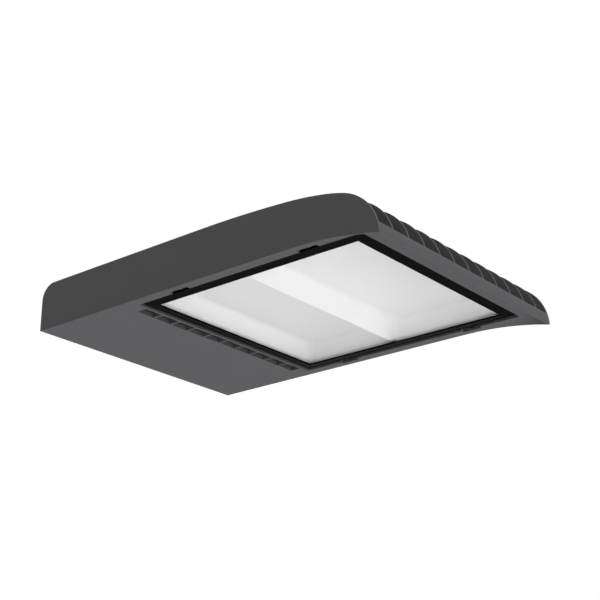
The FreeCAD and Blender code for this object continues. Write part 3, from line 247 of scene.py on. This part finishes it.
def dress_lens():
    # Flat black powder coat on the steel bezel: it hardly mirrors, so it stays near black from every side.
    bezel = finish(
        "black_powder_coated_steel",
        "#030303",
        "#050505",
        roughness=0.14,
        grain_mm=1.2,
        depth_mm=0.003,
        spread=0.03,
        Specular_IOR_Level=0.01,
    )
    dress(bezel, "lens_frame")
    # Blackened steel of the frame's screws.
    black = finish(
        "black_oxide_steel",
        "#111112",
        "#1b1b1c",
        roughness=0.42,
        grain_mm=0.5,
        depth_mm=0.01,
        Metallic=1.0,
    )
    dress(black, "lens_frame_screws")
    # Soda-lime float glass, tempered: clear and polished, so the trays show through it.
    glass = bpy.data.materials.new("tempered_float_glass")
    glass.use_nodes = True
    shader = glass.node_tree.nodes["Principled BSDF"]
    shader.inputs["Base Color"].default_value = linear("#ffffff")
    shader.inputs["Roughness"].default_value = 0.0
    shader.inputs["IOR"].default_value = 1.52
    shader.inputs["Transmission Weight"].default_value = 1.0
    dress(glass, "lens_glass")
    # Translucent silicone foam between glass and trays: matt and slightly dusty.
    foam = finish(
        "translucent_silicone_foam", "#b9bab8", "#c9cac8", roughness=0.75, grain_mm=0.8, depth_mm=0.05
    )
    dress(foam, "lens_gasket")


def dress_light_engine():
    # White polycarbonate, vacuum formed and left satin: the trays.
    tray = finish(
        "vacuum_formed_white_polycarbonate",
        "#f2f2f2",
        "#f6f6f6",
        roughness=0.42,
        grain_mm=2.5,
        depth_mm=0.012,
        cloud_mm=60.0,
    )
    dress(tray, "reflector_rear", "reflector_front")
    # Opal acrylic sheet: an even white that hides the LEDs above it.
    opal = finish(
        "opal_acrylic_sheet",
        "#f2f2f2",
        "#f6f6f6",
        roughness=0.4,
        grain_mm=3.0,
        depth_mm=0.004,
        cloud_mm=80.0,
    )
    dress(opal, "diffuser_rear", "diffuser_front")
    # White solder resist over copper on an aluminium core: a smooth, slightly waxy white.
    board = finish(
        "white_solder_resist", "#e2e3e1", "#e9e9e7", roughness=0.45, grain_mm=1.0, depth_mm=0.01
    )
    dress(board, "led_board_rear", "led_board_front")
    # Phosphor in silicone on the LED packages: a grainy yellow.
    phosphor = finish("yellow_phosphor", "#e0b53c", "#e8c252", roughness=0.5, grain_mm=0.5, depth_mm=0.02)
    dress(phosphor, "leds_rear", "leds_front")


def dress_bay():
    # Drawn aluminium, clear anodised: fine lines along X.
    drawn = finish(
        "clear_anodised_aluminium",
        "#9c9da0",
        "#adaeb1",
        roughness=0.38,
        grain_mm=0.8,
        depth_mm=0.02,
        stretch=(0.05, 1, 1),
        Metallic=1.0,
    )
    dress(drawn, "led_driver")
    # Potting compound in a moulded case: a dull, uneven black.
    potted = finish(
        "black_potting_compound", "#17171a", "#212125", roughness=0.55, grain_mm=1.5, depth_mm=0.05
    )
    dress(potted, "surge_protector")
    # Nylon, moulded in its natural colour: a warm off-white.
    nylon = finish(
        "natural_moulded_nylon", "#cfccc0", "#dad7cc", roughness=0.5, grain_mm=1.2, depth_mm=0.02
    )
    dress(nylon, "terminal_block")
    # PVC insulation of the leads, extruded: smooth, with a soft shine.
    for name, dark, pale, wires in (
        ("black_pvc_insulation", "#131313", "#1c1c1c", ("line_lead", "surge_lead", "led_lead_negative")),
        ("white_pvc_insulation", "#d9d9d6", "#e6e6e3", ("neutral_lead", "board_link_leads")),
        ("green_pvc_insulation", "#126b2d", "#1b7a39", ("ground_lead",)),
        ("red_pvc_insulation", "#a81616", "#b92020", ("led_lead_positive",)),
    ):
        dress(finish(name, dark, pale, roughness=0.4, grain_mm=1.0, depth_mm=0.01), *wires)


def dress_rubber_and_steel():
    # Black silicone rubber, moulded: matt.
    rubber = finish(
        "black_silicone_rubber", "#191919", "#232323", roughness=0.7, grain_mm=0.8, depth_mm=0.03
    )
    dress(rubber, "cover_gasket", "wireway_grommet", "wire_entry_bushing")
    # Stainless steel, turned and lightly brushed.
    steel = finish(
        "turned_stainless_steel",
        "#a9aaab",
        "#bcbdbe",
        roughness=0.32,
        grain_mm=0.4,
        depth_mm=0.01,
        Metallic=1.0,
    )
    dress(
        steel,
        "hinge_pins",
        "cover_screw_left",
        "cover_screw_right",
        "retaining_ring_left",
        "retaining_ring_right",
        "led_board_screws",
        "driver_screws",
        "surge_protector_screws",
        "terminal_block_screws",
    )
    # Zinc-plated steel, dyed green as a ground screw is.
    green = finish(
        "green_zinc_plated_steel",
        "#1d7a3e",
        "#2b8a4c",
        roughness=0.35,
        grain_mm=0.5,
        depth_mm=0.01,
        Metallic=0.7,
    )
    dress(green, "ground_screw")


make_camera()
make_floor()
make_world()
make_lamps()
dress_casting()
dress_lens()
dress_light_engine()
dress_bay()
dress_rubber_and_steel()
bpy.context.scene.view_settings.view_transform = "Standard"
